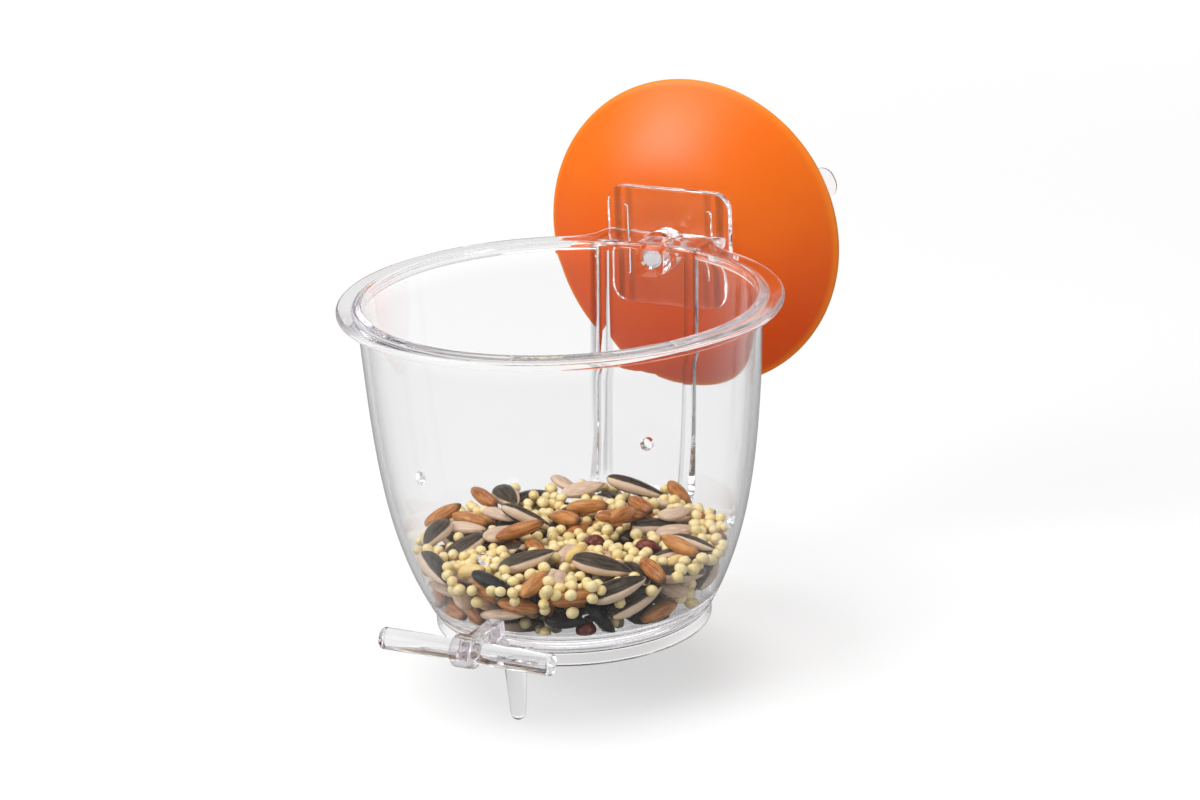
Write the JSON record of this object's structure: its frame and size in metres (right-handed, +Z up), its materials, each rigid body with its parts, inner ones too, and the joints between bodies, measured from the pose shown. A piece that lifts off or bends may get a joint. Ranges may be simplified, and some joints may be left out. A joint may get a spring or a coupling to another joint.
{
  "type": "window bird feeder",
  "caption": "Clear open cup bird feeder with a cross perch, plugged on the stud of a domed suction disc that sticks to a window.",
  "frame": {"origin": "centre of the flat face that sticks to the window", "axes": "+X to the right for someone in front of the feeder, +Y into the window, +Z up"},
  "size_m": [0.0978, 0.1223, 0.122],
  "materials": {
    "clear_cup": "clear, polished",
    "clear_foot": "clear, polished",
    "clear_perch": "clear, polished",
    "clear_rod": "clear, polished",
    "clear_stud": "clear, slightly grey",
    "orange_silicone": "satin, opaque",
    "clear_pad": "soft clear gel",
    "mixed_seed": "dry, mixed husks"
  },
  "bodies": {
    "mount": {"suction_disc": "orange_silicone", "sealing_pad": "clear_pad"},
    "stud": {"fixing_stud": "clear_stud"},
    "cup": {"cup_bowl": "clear_cup", "foot_ring": "clear_foot", "perch_bracket": "clear_perch", "seed_fill": "mixed_seed"},
    "crossbar": {"perch_crossbar": "clear_rod"}
  },
  "joints": [
    {"name": "stud_turn", "type": "hinge", "parent": "mount", "child": "stud", "pos_m": [0, 0, 0], "axis": [0, 1, 0], "continuous": true},
    {"name": "cup_pull", "type": "slide", "parent": "stud", "child": "cup", "axis": [0, -1, 0], "range_m": [0, 0.0105]},
    {"name": "crossbar_turn", "type": "hinge", "parent": "cup", "child": "crossbar", "pos_m": [0, -0.1187, -0.0606], "axis": [1, 0, 0], "continuous": true}
  ]
}
